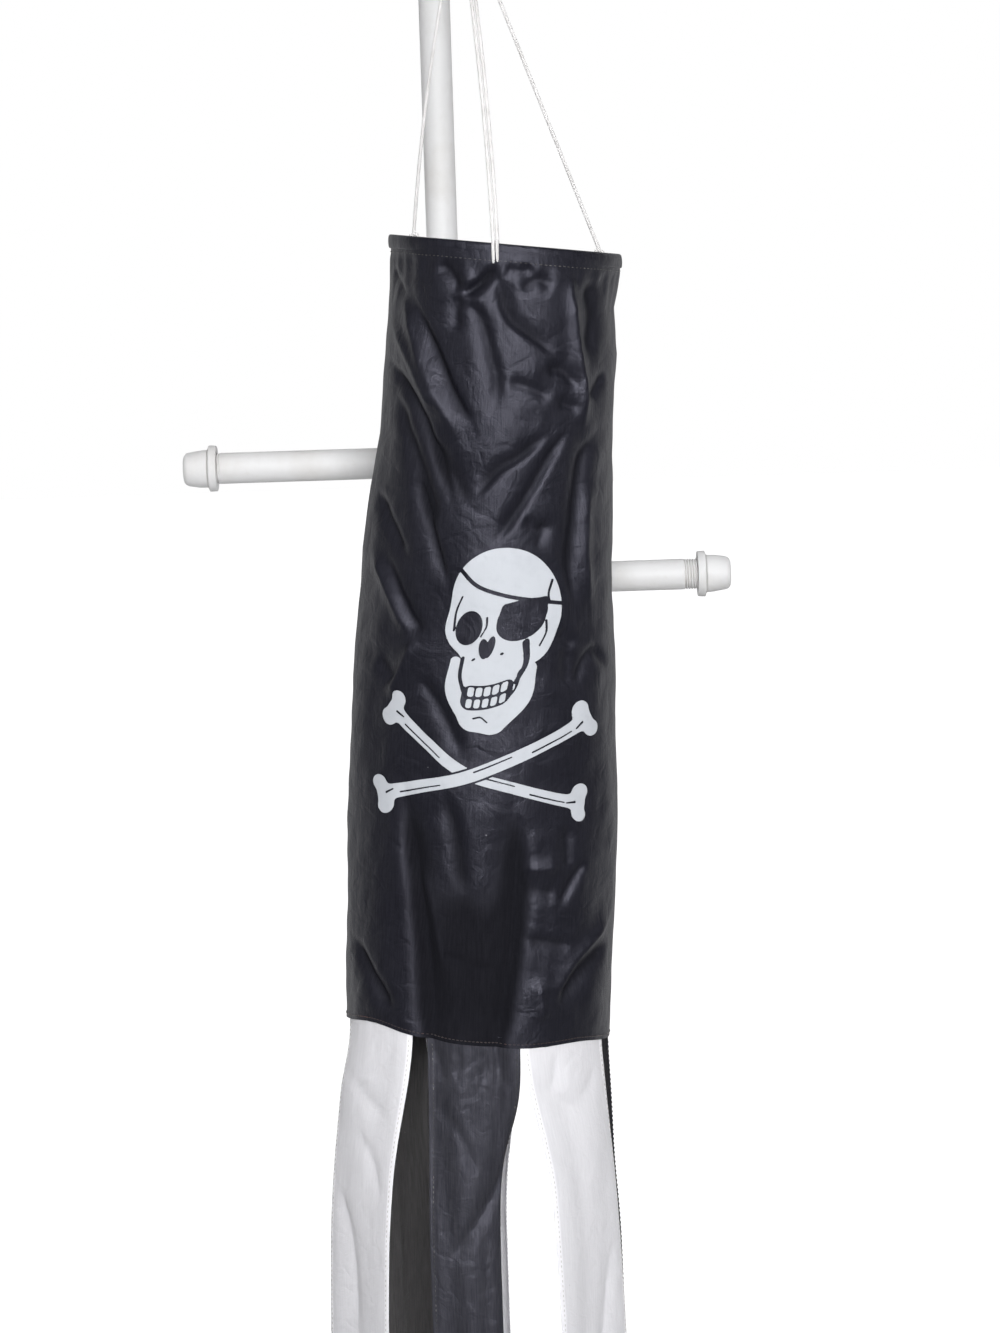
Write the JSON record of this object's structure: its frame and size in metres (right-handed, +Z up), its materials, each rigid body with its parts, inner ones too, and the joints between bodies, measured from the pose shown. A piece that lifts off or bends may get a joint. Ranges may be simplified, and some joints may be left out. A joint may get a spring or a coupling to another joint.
{
  "type": "windsock with pole",
  "caption": "Black nylon windsock with a skull print and black and white streamers, hung by a cord bridle from a white threaded-pipe pole with two stub arms.",
  "frame": {"origin": "centre of the floor flange's underside, on the mast's axis", "axes": "+Z up the mast, -Y towards the front where the sock hangs, +X to the right seen from the front"},
  "size_m": [0.3806, 0.2564, 1.5322],
  "materials": {
    "white_paint": "satin white paint, grubby along the arms, with bare dark metal in the threads",
    "zinc_steel": "bright zinc plate",
    "spring_steel": "drawn spring wire",
    "white_cord": "white braided polyester cord",
    "black_nylon": "black woven nylon with a soft sheen",
    "white_nylon": "white woven nylon and white screen print"
  },
  "bodies": {
    "pole": {"floor_flange": "white_paint", "lower_mast": "white_paint", "lower_tee": "white_paint", "mast_nipple": "white_paint", "upper_tee": "white_paint", "upper_mast": "white_paint", "top_elbow": "white_paint", "boom": "white_paint", "boom_cap": "white_paint", "left_arm": "white_paint", "left_arm_cap": "white_paint", "right_arm": "white_paint", "right_arm_cap": "white_paint", "eye_bolt": "zinc_steel", "upper_washer": "zinc_steel", "upper_nut": "zinc_steel", "lower_washer": "zinc_steel", "lower_nut": "zinc_steel"},
    "hanger": {"hanger_ring": "zinc_steel"},
    "swivel": {"swivel_eye": "zinc_steel"},
    "sock": {"snap_hook": "zinc_steel", "bridle_ring": "zinc_steel", "bridle_knot": "white_cord", "bridle_cord_left": "white_cord", "bridle_cord_right": "white_cord", "bridle_cord_front_a": "white_cord", "bridle_cord_front_b": "white_cord", "hoop_wire": "spring_steel", "hem_sleeve": "black_nylon", "sock_body": "black_nylon"},
    "gate": {"wire_gate": "spring_steel"},
    "tail_front_strip": {"tail_front": "black_nylon"},
    "tail_front_right_strip": {"tail_front_right": "white_nylon"},
    "tail_back_right_strip": {"tail_back_right": "black_nylon"},
    "tail_back_strip": {"tail_back": "white_nylon"},
    "tail_back_left_strip": {"tail_back_left": "black_nylon"},
    "tail_front_left_strip": {"tail_front_left": "white_nylon"}
  },
  "joints": [
    {"name": "swing_side", "type": "hinge", "parent": "pole", "child": "hanger", "pos_m": [0.021, -0.134, 1.4762], "axis": [0, 1, 0], "range_deg": [-60, 60]},
    {"name": "swing_out", "type": "hinge", "parent": "hanger", "child": "swivel", "pos_m": [0.021, -0.134, 1.463], "axis": [-1, 0, 0], "range_deg": [-1.5, 85]},
    {"name": "spin", "type": "hinge", "parent": "swivel", "child": "sock", "pos_m": [0.021, -0.134, 1.437], "axis": [0, 0, 1], "continuous": true},
    {"name": "gate_open", "type": "hinge", "parent": "sock", "child": "gate", "pos_m": [0.021, -0.14, 1.4275], "axis": [1, 0, 0], "range_deg": [0, 22], "stiffness_Nm_per_rad": 0.02, "springref_deg": -17.19},
    {"name": "tail_front_lift", "type": "hinge", "parent": "sock", "child": "tail_front_strip", "pos_m": [0.0045, -0.19789, 0.64858], "axis": [-0.9941, 0.0301, 0.1045], "range_deg": [0, 60]},
    {"name": "tail_front_right_lift", "type": "hinge", "parent": "sock", "child": "tail_front_right_strip", "pos_m": [0.07816, -0.17239, 0.64084], "axis": [-0.7094, -0.7008, 0.0746], "range_deg": [0, 60]},
    {"name": "tail_back_right_lift", "type": "hinge", "parent": "sock", "child": "tail_back_right_strip", "pos_m": [0.08276, -0.10056, 0.64035], "axis": [0.6354, -0.7693, -0.0668], "range_deg": [0, 60]},
    {"name": "tail_back_lift", "type": "hinge", "parent": "sock", "child": "tail_back_strip", "pos_m": [0.0112, -0.07009, 0.64787], "axis": [0.9942, -0.0259, -0.1045], "range_deg": [0, 4]},
    {"name": "tail_back_left_lift", "type": "hinge", "parent": "sock", "child": "tail_back_left_strip", "pos_m": [-0.06164, -0.0953, 0.65553], "axis": [0.7139, 0.6963, -0.075], "range_deg": [0, 60]},
    {"name": "tail_front_left_lift", "type": "hinge", "parent": "sock", "child": "tail_front_left_strip", "pos_m": [-0.06685, -0.16711, 0.65608], "axis": [-0.6302, 0.7736, 0.0662], "range_deg": [0, 60]}
  ]
}
